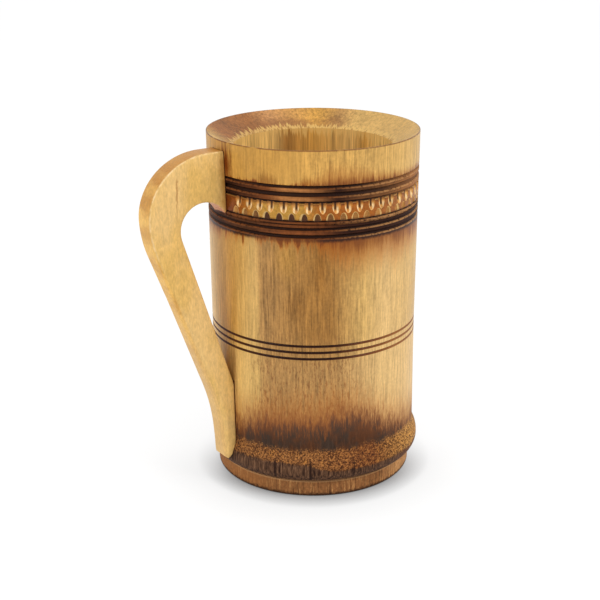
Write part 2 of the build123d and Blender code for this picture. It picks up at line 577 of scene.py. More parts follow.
class Finish:
    """A procedural material: its nodes, and the shader that they feed."""

    def __init__(self, name, **constants):
        self.material = bpy.data.materials.new(name)
        self.material.use_nodes = True
        self.tree = self.material.node_tree
        self.shader = self.tree.nodes["Principled BSDF"]
        for socket, value in constants.items():
            self.shader.inputs[socket.replace("_", " ")].default_value = value

    def feed(self, socket, value):
        """Links a field to a socket, or sets a plain value on it."""
        if isinstance(value, Field):
            self.tree.links.new(value.socket, socket)
        else:
            socket.default_value = value

    def node(self, kind, settings, sockets, output=0):
        """Adds a node: its settings first, then its sockets, and gives back one of its outputs."""
        made = self.tree.nodes.new(kind)
        for name, value in settings.items():
            if name == "stops":
                self.set_stops(made.color_ramp, value)
            else:
                setattr(made, name, value)
        for key, value in sockets.items():
            self.feed(made.inputs[key], value)
        return Field(self, made.outputs[output])

    def set_stops(self, ramp, stops):
        """Gives a ramp its stops, as pairs of position and colour."""
        while len(ramp.elements) < len(stops):
            ramp.elements.new(1.0)
        for element, (position, colour) in zip(ramp.elements, stops):
            element.position = position
            element.color = colour

    def seen(self):
        """1 where the camera, a reflection or glass looks at the surface, and 0 for bounced light."""
        path = self.tree.nodes.new("ShaderNodeLightPath")
        rays = [Field(self, path.outputs[f"Is {kind} Ray"]) for kind in ("Camera", "Glossy", "Transmission")]
        return rays[0] + rays[1] + rays[2]

    def place(self):
        """Object coordinates in millimetres."""
        metres = self.node("ShaderNodeTexCoord", {}, {}, "Object")
        return self.node("ShaderNodeVectorMath", {"operation": "SCALE"}, {0: metres, "Scale": 1 / MM})

    def part(self, vector, axis):
        """One of the three numbers of a vector."""
        return self.node("ShaderNodeSeparateXYZ", {}, {0: vector}, axis)

    def noise(self, place, per_mm, detail, roughness):
        """Smooth noise from 0 to 1, with a count of waves to the millimetre along each axis."""
        spread = self.node("ShaderNodeVectorMath", {"operation": "MULTIPLY"}, {0: place, 1: per_mm})
        sockets = {"Vector": spread, "Scale": 1.0, "Detail": detail, "Roughness": roughness}
        return self.node("ShaderNodeTexNoise", {}, sockets)

    def complete(self, relief, depth, **inputs):
        """Feeds the shader's inputs and a relief, with its depth in millimetres; gives back the material."""
        sockets = {"Height": relief, "Distance": depth * MM, "Strength": 1.0}
        inputs["Normal"] = self.node("ShaderNodeBump", {}, sockets)
        for socket, value in inputs.items():
            self.feed(self.shader.inputs[socket.replace("_", " ")], value)
        return self.material


class Surroundings(Finish):
    """The world round the object, with nodes as a finish has."""

    def __init__(self, name):
        self.world = bpy.data.worlds.new(name)
        self.world.use_nodes = True
        self.tree = self.world.node_tree
        self.tree.nodes["Background"].inputs["Color"].default_value = (1, 1, 1, 1)


class Round:
    """Where a point of the turned cup is, and how the fibres run there.

    Long fibres are fine or broad, short ones come and go along the wall, and grain has no direction.
    """

    def __init__(self, finish):
        self.finish = finish
        self.place = finish.place()
        across = finish.part(self.place, 0)
        along = finish.part(self.place, 1)
        self.height = finish.part(self.place, 2)
        front = radians(front_direction)
        ahead = across * cos(front) + along * sin(front)
        aside = along * cos(front) - across * sin(front)
        self.radius = across.math("SQRT", across * across + along * along, 0.0)
        self.direction = across.math("ARCTAN2", aside, ahead) * (180 / pi)
        inward = self.radius.math("DIVIDE", bore_radius, self.radius)
        scale = {0: self.place, "Scale": inward}
        self.turned = finish.node("ShaderNodeVectorMath", {"operation": "SCALE"}, scale)
        self.fine = self.noise(fine_fibres)
        self.short = self.noise(short_fibres)
        self.broad = self.noise(broad_fibres)
        self.grain = self.noise(even_grain)

    def noise(self, texture):
        """Noise of one of the textures, where the point is."""
        return self.finish.noise(self.place, *texture)

    def climb(self, low, high):
        """0 below one height and 1 above another. It falls where low is above high."""
        return rise(self.height, low, high)

    def between(self, low, high, soft):
        """1 between two heights, with soft ends."""
        return self.climb(low - soft, low + soft) * self.climb(high + soft, high - soft)

    def facing(self, start, end, soft):
        """1 between two directions, with soft ends."""
        begun = rise(self.direction, start - soft, start + soft)
        return begun * rise(self.direction, end + soft, end - soft)

    def ring(self, behind, stops):
        """Colour that changes round the wall, from the one at the back and stops of direction and colour."""
        shares = [((direction + 180) / 360, colour) for direction, colour in stops]
        settings = {"stops": [(0.0, behind), *shares, (1.0, behind)]}
        return self.finish.node("ShaderNodeValToRGB", settings, {0: self.direction / 360 + 0.5})

    def patch(self, direction, height, half_turn, half_height):
        """1 at a place on the wall, fading out over a ragged oval round it."""
        across = (self.direction - direction) / half_turn
        up = (self.height - height) / half_height
        away = across.math("SQRT", across * across + up * up, 0.0)
        away = away + swing(self.short, 1.6) + swing(self.fine, 1.2)
        return rise(away, 1.15, 0.15)

    def ring_level(self, behind, stops):
        """Number that changes round the wall, from the one at the back and stops of direction and level."""
        greys = [(direction, (level, level, level, 1)) for direction, level in stops]
        grey = self.ring((behind, behind, behind, 1), greys)
        return self.finish.node("ShaderNodeRGBToBW", {}, {0: grey})


# Finishes of the bamboo


def plain_wall_colour(spot):
    """Golden skin of the plain wall: richer at the top, paler at the far left and to the right partly as
    painted reflection of the lamps, tan on the lower front, with a painted highlight strip and painted light
    and shade among its stains.
    """
    # Ring of colours: paler at both sides, partly the bamboo's own tone and partly painted reflection of the
    # lamps
    colour = spot.ring(
        wheat,
        [(-78, straw), (-50, honey), (-34, wheat), (-28, hazel), (-2, toffee), (10, toffee),
         (28, wheat), (42, straw), (72, wheat)],
    )
    upper = spot.ring(honey, [(-21, honey), (66, wheat)])
    lower = spot.ring(wheat, [(-38, wheat), (-24, hazel), (12, hazel), (40, straw), (52, straw)])
    colour = mix(spot.climb(*upper_skin), colour, upper)
    colour = mix(spot.climb(*lower_skin), colour, lower)
    # Stains, with the painted highlights and painted shade listed among them
    for *where, share, mark_colour in wall_stains_and_painted_light:
        colour = mix(spot.patch(*where) * share, colour, rgb(*mark_colour))
    # Painted highlight: a pale strip down the left, standing for a reflection of the lamps, stronger low
    # down
    wavy = spot.direction + swing(spot.broad, 10) + swing(spot.short, 4)
    strip = rise(wavy, *highlight_strip_left) * rise(wavy, *highlight_strip_right)
    strip = strip * spot.between(*highlight_strip_heights)
    colour = mix(strip * (0.35 + 0.3 * spot.climb(*highlight_strip_strong)), colour, butter)
    lively = rise(spot.direction - calm_rim_turn * spot.climb(*calm_rim), *lively_left)
    lively = (0.55 + 0.45 * lively) * (1 - 0.3 * rise(spot.direction, *lively_right))
    streak = lively * (swing(spot.fine, 1.5) + swing(spot.short, 1.8) + swing(spot.grain, 0.6))
    return tint(colour, 1 + streak + swing(spot.broad, 0.35))


def dashes(spot):
    """Short dark ends of fibres, thickest on the lower front."""
    ends = spot.noise(fibre_ends)
    front = spot.facing(*dash_directions) * spot.climb(*dash_heights)
    return rise(ends, 0.50, 0.66) * (0.12 + 0.88 * front)


def scorch_marks(spot, colour):
    """Heat marks above the first groove and below the last one, drawn out along the fibres."""
    drawn = swing(spot.fine, 8) + swing(spot.short, 9) + swing(spot.broad, 6)
    over = spot.climb(*over_start)
    reach = over_reach * spot.ring_level(over_shares_behind, over_shares)
    depth = (spot.height - first_groove + 0.7 * drawn) / reach
    colour = mix(rise(depth, 1.2, 0.1) * over * 0.75, colour, rust)
    colour = mix(rise(depth, 0.5, 0.0) * over * 0.75, colour, russet)
    under = spot.climb(*under_start)
    reach = under_reach * spot.ring_level(under_shares_behind, under_shares)
    depth = (under_height - spot.height - 1.6 * drawn) / reach
    colour = mix(rise(depth, 1.35, 0.1) * under * 0.78, colour, ember)
    colour = mix(rise(depth, 0.6, 0.0) * under * 0.75, colour, russet)
    edge = rise(spot.height - swing(spot.short, 2.5), *under_edge) * under
    share = 0.95 - 0.6 * spot.facing(*under_spared)
    return mix(edge * share, colour, soot)


def groove_depth(spot):
    """How far a point lies below the plain wall, in millimetres."""
    above = (spot.height - waist_height) * ((rim_radius - waist_radius) / (cup_height - waist_height))
    below = (waist_height - spot.height) * ((wall_radius - waist_radius) / (waist_height - wall_start))
    return waist_radius + above.math("MAXIMUM", above, below) - spot.radius


def grooved_zone(spot, colour):
    """Browned lands with painted highlights along their crests, orange band floor with painted shade at its
    top and bottom, burnt grooves and painted highlights on their lower edges; also where it is dull.
    """
    lands = spot.ring(
        umber,
        [(-62, soot), (-44, soot), (-24, umber), (-15, bronze), (-5, bronze), (12, soot), (68, bronze)],
    )
    low_lands = spot.ring(
        umber,
        [(-62, bark), (-36, bark), (-14, umber), (-4, umber), (16, soot), (68, soot)],
    )
    # Painted highlights along the lands' crests, with their own uneven tone
    lines = spot.noise(crest_highlight_lines)
    uneven = 1 + swing(lines, 1.6) + swing(spot.broad, 1) + swing(spot.grain, 1)
    upper_zone = spot.between(*upper_lands)
    lower_zone = spot.between(*lower_lands)
    colour = mix(upper_zone, colour, tint(lands, uneven))
    colour = mix(lower_zone, colour, tint(low_lands, uneven))
    band_colour = spot.ring(
        rust,
        [(-100, rust), (-52, russet), (-40, rust), (-28, ochre), (-6, ochre), (4, rust), (28, rust),
         (70, bronze)],
    )
    # Painted shade along the top and bottom of the band's floor
    border = spot.climb(*band_top_shade)
    border = border.math("MAXIMUM", border, spot.climb(*band_bottom_shade))
    band_colour = mix(border * 0.6, band_colour, russet)
    band = spot.between(*band_floor)
    colour = mix(band, colour, tint(band_colour, 1 + swing(spot.grain, 1.4)))
    burnt = rise(groove_depth(spot), *burn_depths) * spot.climb(*above_waist)
    spared = spot.climb(*spared_heights) * (1 - spot.facing(*burnt_front))
    colour = mix(burnt * spot.ring_level(burn_shares_behind, burn_shares) * (1 - 0.5 * spared), colour, ink)
    # Painted highlights on the grooves' lower edges, kept off most of the front
    edge_colour = spot.ring(bronze, [(-36, chestnut), (8, umber), (44, fawn), (68, fawn)])
    lit = 1 - 0.9 * spot.facing(*unlit_front)
    broken = rise(spot.grain, 0.30, 0.55)
    for bottom, top, share in groove_edge_highlights:
        edge = spot.between(bottom, top, line_soft)
        colour = mix(edge * lit * broken * share, colour, edge_colour)
    line_colour = spot.ring(umber, [(-44, bark), (-20, soot), (10, soot), (30, umber), (50, bronze)])
    for height, _, _ in waist_grooves:
        line = spot.between(height + waist_line[0], height + waist_line[1], line_soft)
        colour = mix(line, colour, line_colour)
    return colour, upper_zone + lower_zone


def burnt_shoulder(spot, colour):
    """Burn above the node ridge: an orange halo, a red-brown flecked edge, and grey-black patches below."""
    edge = burn_base + burn_reach * spot.ring_level(burn_edge_behind, burn_edge)
    flecks = spot.noise(burn_flecks)
    patches = spot.noise(burn_patches)
    drawn = swing(spot.fine, 0.8) + swing(spot.short, 0.8) + swing(flecks, 2.8)
    depth = (edge - spot.height) / burn_run + drawn + swing(spot.broad, 0.9)
    colour = mix(rise(depth, -2.2, 0.0) * 0.5, colour, ember)
    colour = mix(rise(depth, -0.9, 0.5), colour, chestnut)
    charred = mix(rise(patches, 0.34, 0.54), bark, ash)
    charred = tint(charred, 1 + 0.9 * drawn)
    return mix(rise(depth, -0.3, 1.0) * 0.95, colour, charred)


def node_zone(spot, colour):
    """The speckled node ridge with its drying cracks, and the charred band of upright fibres under it."""
    colour = burnt_shoulder(spot, colour)
    dots = spot.noise(ridge_dots)
    lumps = spot.noise(ridge_lumps)
    top = spot.height + swing(spot.grain, 2.5) + swing(spot.broad, 4) + swing(dots, 5)
    ridge_colour = spot.ring(bronze, [(0, bronze), (34, chestnut), (68, amber)])
    ridge_colour = tint(ridge_colour, 1 + swing(spot.grain, 0.6))
    ridge_colour = mix(rise(lumps, 0.52, 0.70) * 0.4, ridge_colour, ginger)
    ridge_colour = mix(rise(lumps, 0.46, 0.30) * 0.5, ridge_colour, bark)
    ridge_colour = mix(rise(dots, 0.45, 0.34) * 0.5, ridge_colour, amber)
    ridge_colour = mix(rise(dots, 0.46, 0.56) * 0.9, ridge_colour, soot)
    colour = mix(rise(top, *ridge_top), colour, ridge_colour)
    char_top = char_base + char_reach * spot.ring_level(char_edge_behind, char_edge)
    cracks = spot.noise(upright_cracks)
    level = spot.height + swing(dots, 2.4) + swing(cracks, 3) + swing(spot.broad, 2)
    char_zone = rise(level, char_top + char_soft, char_top - char_soft)
    char_colour = mix(rise(cracks, 0.34, 0.70), ink, rgb(116, 82, 58))
    char_colour = mix(rise(cracks, 0.58, 0.68) * 0.5, char_colour, rgb(148, 110, 82))
    char_colour = mix(spot.facing(*char_right) * 0.35, char_colour, chestnut)
    colour = mix(char_zone, colour, char_colour)
    for direction, half_turn in split_places:
        split = spot.facing(direction - half_turn, direction + half_turn, split_turn_soft)
        split = split * spot.between(*split_heights)
        colour = mix(split * 0.9, colour, ink)
    return colour, cracks, char_zone


def foot_zone(spot, colour, cracks):
    """Brown foot ring with light and dark upright streaks, and a dark edge where it stands."""
    foot_colour = spot.ring(bronze, [(-44, bronze), (-20, walnut), (42, walnut), (60, fawn)])
    streaks = 0.35 + 0.65 * spot.facing(*foot_streaks)
    pale = rise(cracks, 0.54, 0.66) * streaks
    foot_colour = mix(pale * 0.75, foot_colour, rgb(212, 158, 96))
    foot_colour = mix(rise(spot.fine, 0.52, 0.62) * streaks * 0.8, foot_colour, bark)
    mottle = spot.noise(foot_mottle)
    foot_colour = tint(foot_colour, 1 + swing(spot.grain, 0.7) + streaks * swing(mottle, 1.6))
    foot_colour = mix(spot.climb(*foot_lit_edge) * 0.5, foot_colour, rgb(196, 150, 104))
    colour = mix(spot.climb(*foot_top), colour, foot_colour)
    edge = rise(spot.height + swing(spot.grain, 2.4), *foot_dark_edge)
    return mix(edge * 0.85, colour, ink)


def turned_wall(name):
    """Finish of the whole outside: plain wall, grooves, band floor, burnt ridge and foot."""
    finish = Finish(name, Coat_Roughness=0.2, Specular_IOR_Level=0.1)
    spot = Round(finish)
    colour = plain_wall_colour(spot)
    colour = mix(dashes(spot) * 0.6, colour, umber)
    colour = scorch_marks(spot, colour)
    line = spot.climb(*rim_line) * rise(spot.broad, 0.25, 0.5)
    colour = mix(line * 0.75, colour, umber)
    colour, dull = grooved_zone(spot, colour)
    colour, cracks, char_zone = node_zone(spot, colour)
    colour = foot_zone(spot, colour, cracks)
    rough = spot.climb(*rough_foot)
    return finish.complete(
        spot.fine + 0.6 * spot.grain * rough + 0.8 * cracks * char_zone,
        fibre_relief,
        Base_Color=colour,
        Roughness=0.36 + 0.12 * spot.fine + 0.2 * rough + 0.15 * dull,
        Coat_Weight=0.16 * (1 - rough) * (1 - dull),
    )


def cut_lip(name):
    """Finish of the bevelled lip: fibres cut across show as dots, and fray into pale tips at the bore."""
    finish = Finish(name, Specular_IOR_Level=0.25)
    spot = Round(finish)
    dots = spot.noise(lip_dots)
    cloud = spot.noise(lip_cloud)
    tips = finish.noise(spot.turned, *frayed_tips)
    colour = spot.ring(
        honey,
        [(-152, fawn), (-136, bronze), (-116, walnut), (-100, bronze), (-76, wheat), (150, wheat),
         (163, hazel), (174, honey)],
    )
    speckle = 2.6 - 1.2 * spot.facing(*lip_calm)
    colour = tint(colour, 1 + swing(cloud, 0.6) + swing(dots, speckle))
    browned = spot.facing(*lip_brown_left)
    browned = browned + 0.6 * spot.facing(*lip_brown_right)
    browned = rise(spot.radius + swing(cloud, 6), *lip_brown_radii) * browned
    colour = mix(browned * 0.6, colour, walnut)
    above_bore = (spot.radius - bore_radius) / tip_length + swing(tips, 3)
    colour = mix(rise(above_bore, 0.50, 0.30) * 0.75, colour, butter)
    colour = mix(rise(above_bore, 0.05, -0.10) * 0.75, colour, toffee)
    return finish.complete(dots, lip_relief, Base_Color=colour, Roughness=0.46 + 0.15 * dots)


def bored_inside(name):
    """Finish of the bore: brown and straw streaks down the wall, paler at the ragged top."""
    finish = Finish(name, Specular_IOR_Level=0.25)
    spot = Round(finish)
    streak = spot.noise(bore_streaks)
    fine = finish.noise(spot.turned, *bore_fibres)
    colour = spot.ring(
        honey,
        [(-159, toffee), (-151, wheat), (-140, butter), (0, wheat), (90, butter), (126, butter),
         (138, honey), (150, wheat)],
    )
    colour = tint(colour, 1 + swing(streak, 1) + swing(fine, 2.8))
    tips = finish.noise(spot.turned, *frayed_tips)
    ragged = rise(spot.height + swing(tips, 20), *ragged_heights)
    colour = mix(ragged * 0.7, colour, butter)
    return finish.complete(fine, fibre_relief, Base_Color=colour, Roughness=0.5 + 0.1 * fine)


def gouged_flute(name):
    """Finish of the gouge marks: painted highlights on the flanks and painted shade at the top and down the
    middle above, dark with pale rims below.
    """
    finish = Finish(name, Specular_IOR_Level=0.15)
    spot = Round(finish)

    def from_middle(first_angle):
        """Distance in millimetres to the middle of the nearest mark of a row."""
        pitch = 360 / flute_count
        turn = (spot.direction - first_angle) / pitch + 0.5
        across = (turn.math("FRACT", turn, 0.0) - 0.5) * (radians(pitch) * wall_radius)
        return across.math("ABSOLUTE", across, 0.0)

    across = from_middle(flute_turn)
    upper = spot.ring(amber, [(-44, ginger), (-26, amber), (24, ginger), (44, amber)])
    # Painted highlights on the flanks of the upper marks
    flank_highlight = rise(across, *highlight_flank_inside) * rise(across, *highlight_flank_outside)
    upper = mix(flank_highlight * spot.climb(*highlight_flank_heights) * 0.75, upper, rgb(252, 226, 172))
    # Painted shade at the top of each upper mark and down its middle
    upper = mix(spot.climb(*mark_top_shade) * 0.7, upper, umber)
    middle = rise(across, *mark_middle_shade) * spot.climb(*mark_middle_shade_heights)
    upper = mix(middle * 0.9, upper, soot)
    lower = spot.ring(copper, [(-46, copper), (-26, bark), (-2, bark), (32, copper)])
    across = from_middle(flute_turn + flute_row_shift) / low_mark_size[0]
    up = (spot.height - band_bottom) / low_mark_size[1]
    rim = rise(across * across + up * up, 0.62, 0.95)
    lower = mix(rim * 0.8, lower, rgb(234, 194, 124))
    lower = mix(spot.climb(*low_mark_foot) * 0.6, lower, bark)
    colour = mix(spot.climb(*row_change), lower, upper)
    colour = tint(colour, 1 + swing(spot.short, 0.6) + swing(spot.grain, 1))
    return finish.complete(spot.fine, fibre_relief, Base_Color=colour, Roughness=0.3 + 0.12 * spot.fine)


def foot_underside(name):
    """Finish under the foot: sawn end grain with the dark dots of the fibre bundles."""
    finish = Finish(name, Specular_IOR_Level=0.25)
    place = finish.place()
    dots = finish.noise(place, *sawn_dots)
    colour = mix(finish.noise(place, *sawn_cloud), fawn, bronze)
    colour = mix(rise(dots, 0.54, 0.64), colour, bark)
    return finish.complete(dots, sawn_relief, Base_Color=colour, Roughness=0.55 + 0.15 * dots)


# Finishes of the handle and what holds it


def handle_wood(name):
    """Pale straw wood under varnish: mottled broad faces, banded golden edges that are partly painted shade,
    a painted highlight along the crown's front arrises and painted shade along its back arrises, browned
    near the wall.
    """
    finish = Finish(name, Coat_Roughness=0.15, Specular_IOR_Level=0.2)
    place = finish.place()
    out = 0 - finish.part(place, 0)
    aside = finish.part(place, 1)
    height = finish.part(place, 2)
    lean = radians(handle_lean)
    forward = (height - lean_height) * sin(lean) - aside * cos(lean)
    depth = handle_thickness / 2 - forward
    back_depth = handle_thickness / 2 + forward
    edge = rise(depth.math("MINIMUM", depth, back_depth), *edge_depths)
    cloud = finish.noise(place, *plank_cloud)
    mottle = finish.noise(place, *plank_mottle)
    grain = finish.noise(place, *plank_grain)
    flecks = finish.noise(place, *plank_flecks)
    bands = finish.noise(place, *edge_bands)
    colour = mix(rise(cloud, 0.35, 0.65), rgb(217, 174, 95), rgb(224, 184, 117))
    colour = tint(colour, 1 + swing(grain, 0.25) + swing(mottle, 0.5) + swing(flecks, 0.6))
    # Golden edges: their own grain bands, and partly painted shade that sets them off from the broad faces
    edge_colour = mix(rise(bands, 0.38, 0.62), rgb(236, 186, 98), rgb(208, 154, 74))
    golden = rise(height + swing(bands, 30), *crown_gold)
    edge_colour = mix(golden * 0.75, edge_colour, rgb(180, 114, 34))
    edge_colour = mix(rise(height, *leg_pale) * 0.75, edge_colour, rgb(220, 180, 118))
    colour = mix(edge * 0.9, colour, tint(edge_colour, 1 + swing(flecks, 0.7)))
    # Painted highlight along the front arrises of the crown
    arris = rise(depth, *arris_highlight_inside) * rise(depth, *arris_highlight_outside)
    arris = arris * rise(height, *arris_highlight_heights) * rise(mottle, 0.4, 0.65)
    colour = mix(arris * 0.4, colour, rgb(250, 226, 186))
    # Painted shade along the back arrises of the crown
    back_arris_shade = rise(back_depth, *back_arris_shade_depths) * rise(height, *back_arris_shade_heights)
    colour = mix(back_arris_shade * 0.6, colour, rgb(120, 74, 34))
    root = rise(out + swing(mottle, 3), *root_out)
    root = root * rise(height, *root_top) * rise(height, *root_bottom)
    colour = mix(root * 0.75, colour, rgb(170, 112, 40))
    under_arch = edge * rise(out, *under_arch_out)
    under_arch = under_arch * rise(height, *under_arch_top) * rise(height, *under_arch_bottom)
    arch_colour = tint(rgb(220, 146, 94), 1 + swing(flecks, 1.6))
    colour = mix(under_arch * 0.85, colour, arch_colour)
    from_flaw = out - flaw_out - flaw_slope * (flaw_level - height)
    flaw = rise(from_flaw.math("ABSOLUTE", from_flaw, 0.0) + swing(flecks, 1.2), *flaw_width)
    flaw = flaw * rise(height, *flaw_top) * rise(height, *flaw_bottom)
    colour = mix(flaw * rise(forward, *flaw_front) * 0.55, colour, rgb(156, 100, 40))
    return finish.complete(
        grain + 0.5 * flecks,
        fibre_relief,
        Base_Color=colour,
        Roughness=0.36 + 0.12 * grain,
        Coat_Weight=0.1 * (1 - edge),
    )


def glue_and_seam_shade(name):
    """Dried adhesive in the seam between wall and handle, coloured dark as painted shade of the seam."""
    finish = Finish(name, Specular_IOR_Level=0.1)
    lumps = finish.noise(finish.place(), *glue_lumps)
    colour = mix(lumps, rgb(62, 28, 12), rgb(98, 52, 26))
    return finish.complete(lumps, glue_relief, Base_Color=colour, Roughness=0.4 + 0.2 * lumps)


def dowel_wood(name):
    """Plain pale dowel, with grain along its length."""
    finish = Finish(name, IOR=1.45)
    grain = finish.noise(finish.place(), *dowel_grain)
    colour = mix(grain, rgb(222, 190, 138), rgb(188, 146, 92))
    return finish.complete(grain, fibre_relief, Base_Color=colour, Roughness=0.5 + 0.2 * grain)


# Pieces


def wall_radius_at(height):
    """Outside radius of the plain wall, which narrows to the waist and flares to the rim."""
    if height < waist_height:
        share = (height - wall_start) / (waist_height - wall_start)
        return wall_radius + share * (waist_radius - wall_radius)
    share = (height - waist_height) / (cup_height - waist_height)
    return waist_radius + share * (rim_radius - waist_radius)


def groove_points(height, width, depth):
    """Section of one turned groove: crisp edges and a round bottom, from the bottom edge up."""
    points = []
    for step in range(groove_steps + 1):
        across = 2 * step / groove_steps - 1
        level = height + across * width / 2
        points.append((wall_radius_at(level) - depth * (1 - across * across), level))
    return points


def shoulder_points(growth):
    """Outside of the culm from the foot ring up to the plain wall, grown by a given amount."""
    pull = (wall_start - ridge_height) / 2
    ridge = ridge_radius + growth
    wall = wall_radius + growth
    swell = (ridge_radius - notch_radius, ridge_height - notch_height)
    points = arc_points((notch_radius + growth, ridge_height), swell, -90, 0, ridge_steps)
    for step in range(1, shoulder_steps + 1):
        share = step / shoulder_steps
        rest = 1 - share
        inner = rest ** 3 + 3 * rest ** 2 * share
        radius = ridge * inner + wall * (1 - inner)
        level = (
            ridge_height * rest ** 3
            + 3 * (ridge_height + pull) * rest ** 2 * share
            + 3 * (wall_start - pull) * rest * share ** 2
            + wall_start * share ** 3
        )
        points.append((radius, level))
    return points


def band_points():
    """Section of the carved band's floor, with enough rings for the gouge marks."""
    points = []
    for ring in range(band_rings):
        share = ring / (band_rings - 1)
        level = band_bottom + band_margin + (band_top - band_bottom - 2 * band_margin) * share
        points.append((wall_radius_at(level), level))
    return points


def cup_profile():
    """Half section of the turned cup, from the middle of the recess round to the middle of the floor."""
    rounded = [
        (recess_radius - recess_round, recess_depth - recess_round, recess_round, 90, 0, corner_steps),
        (recess_radius + recess_round, recess_round, recess_round, 180, 270, corner_steps),
        (foot_radius - foot_round, foot_round, foot_round, -90, 0, foot_steps),
        (foot_radius - foot_edge_round, foot_height - foot_edge_round, foot_edge_round, 0, 90, corner_steps),
    ]
    profile = [(0, recess_depth)]
    for across, up, *arc in rounded:
        profile += round_points((across, up), *arc)
    profile += shoulder_points(0)
    above_band = upper_grooves[2]
    for groove in sorted(waist_grooves + upper_grooves):
        if groove == above_band:
            profile += band_points()
        profile += groove_points(*groove)
    rim_centre = (rim_radius - rim_round, cup_height - rim_round)
    profile += round_points(rim_centre, rim_round, 0, 90, corner_steps)
    profile.append((rim_radius - lip_width, cup_height))
    profile.append((bore_radius, cup_height - bevel_depth))
    floor_centre = (bore_radius - floor_round, floor_height + floor_round)
    profile += round_points(floor_centre, floor_round, 0, -90, floor_steps)
    profile.append((0, floor_height))
    return profile


def paring_cut():
    """Cutter that takes the swell off the node ridge behind the handle."""
    reach = ridge_radius + wall_start - ridge_height
    section = [
        (pared_radius, notch_height),
        (reach, notch_height),
        (reach, wall_start),
        (pared_radius, wall_start),
        (pared_radius, notch_height),
    ]
    cutter = turn_on_axis("paring_cut", section)
    handle_turn = handle_angle + front_direction
    bpy.ops.object.mode_set(mode="EDIT")
    for turn, side in ((handle_turn - pared_start, 1), (handle_turn - pared_end, -1)):
        normal = (-side * sin(radians(turn)), side * cos(radians(turn)), 0)
        bpy.ops.mesh.select_all(action="SELECT")
        bpy.ops.mesh.bisect(plane_co=(0, 0, 0), plane_no=normal, use_fill=True, clear_outer=True)
    bpy.ops.object.mode_set(mode="OBJECT")
    return cutter


def gouge_mark(name, size, height, side):
    """One cutter for a gouge mark: half an ellipsoid that hangs from, or stands on, the band's border."""
    half_width, length, depth = size
    deselect_all()
    bpy.ops.mesh.primitive_uv_sphere_add(
        segments=gouge_segments,
        ring_count=gouge_rings,
        radius=MM,
        location=(0, 0, 0),
    )
    mark = bpy.context.object
    mark.name = name
    edit_all()
    bpy.ops.transform.resize(value=(depth, half_width, length))
    bpy.ops.mesh.bisect(plane_co=(0, 0, 0), plane_no=(0, 0, side), use_fill=True, clear_outer=True)
    bpy.ops.mesh.select_all(action="SELECT")
    bpy.ops.transform.translate(value=(wall_radius_at(height) * MM, 0, height * MM))
    bpy.ops.object.mode_set(mode="OBJECT")
    return mark


def gouge_row(master, first_angle, draw):
    """Copies a gouge mark round the wall, each a little different, and leaves the handle's seat bare."""
    marks = []
    for number in range(flute_count):
        angle = first_angle + 360 * number / flute_count + draw.uniform(-flute_wander, flute_wander)
        grow = Vector((1.0, draw.uniform(*flute_widths), 1.0))
        from_handle = (angle - handle_angle + 180) % 360 - 180
        if abs(from_handle) < flute_bare_half:
            continue
        mark = master.copy()
        mark.data = master.data.copy()
        bpy.context.scene.collection.objects.link(mark)
        turn = Matrix.Rotation(radians(angle + front_direction), 4, "Z")
        mark.data.transform(turn @ Matrix.Diagonal((*grow, 1.0)))
        marks.append(mark)
    bpy.data.objects.remove(master)
    return marks


def make_cup():
    """The turned and carved bamboo cup."""
    cup = turn_on_axis("turned_cup", cup_profile())
    wall = turned_wall("scorched_bamboo_wall")
    lip = cut_lip("bevelled_bamboo_lip")
    bore = bored_inside("bored_bamboo_inside")
    underside = foot_underside("sawn_bamboo_underside")
    flute = gouged_flute("gouged_bamboo_flute")
    finishes = [wall, lip, bore, underside]
    for material in finishes:
        cup.data.materials.append(material)
    near = 0.1
    lip_foot = cup_height - bevel_depth
    for face in cup.data.polygons:
        radius = hypot(face.center.x, face.center.y) / MM
        level = face.center.z / MM
        if floor_height - near < level < lip_foot + near / 2 and radius < bore_radius + near:
            face.material_index = finishes.index(bore)
        elif level > lip_foot and radius < rim_radius - lip_width:
            face.material_index = finishes.index(lip)
        elif radius < foot_radius - foot_round and level < recess_depth + near:
            face.material_index = finishes.index(underside)
    paring = paring_cut()
    paring.data.materials.append(wall)
    cut_away(cup, paring)
    draw = random.Random(flute_seed)
    upper_gouge = gouge_mark("upper_gouge", upper_flute, band_top, 1)
    upper = gouge_row(upper_gouge, flute_turn, draw)
    lower_gouge = gouge_mark("lower_gouge", lower_flute, band_bottom, -1)
    lower = gouge_row(lower_gouge, flute_turn + flute_row_shift, draw)
    pick(*upper, *lower)
    bpy.ops.object.join()
    gouges = bpy.context.object
    gouges.data.materials.append(flute)
    cut_away(cup, gouges)
    smooth(cup, cup_crisp_angle)
    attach(cup, "root")
    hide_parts("cup_body")


def slope_to_arc(start, centre, radius):
    """Degrees from upright of the line that rises from a point and touches an arc's outer side."""
    across = start[0] - centre[0]
    up = start[1] - centre[1]
    return degrees(-atan2(up, across) - acos(radius / hypot(across, up)))


def rounded_corner(before, corner, after, radius, steps):
    """Points of the arc that rounds a corner between two straight runs."""
    corner = Vector(corner)
    back = (Vector(before) - corner).normalized()
    ahead = (Vector(after) - corner).normalized()
    half_turn = back.angle(ahead) / 2
    centre = corner + (back + ahead).normalized() * (radius / sin(half_turn))
    first = corner + back * (radius / tan(half_turn)) - centre
    last = corner + ahead * (radius / tan(half_turn)) - centre
    start = degrees(atan2(first.y, first.x))
    turn = (degrees(atan2(last.y, last.x)) - start + 180) % 360 - 180
    return round_points(centre, radius, start, start + turn, steps)


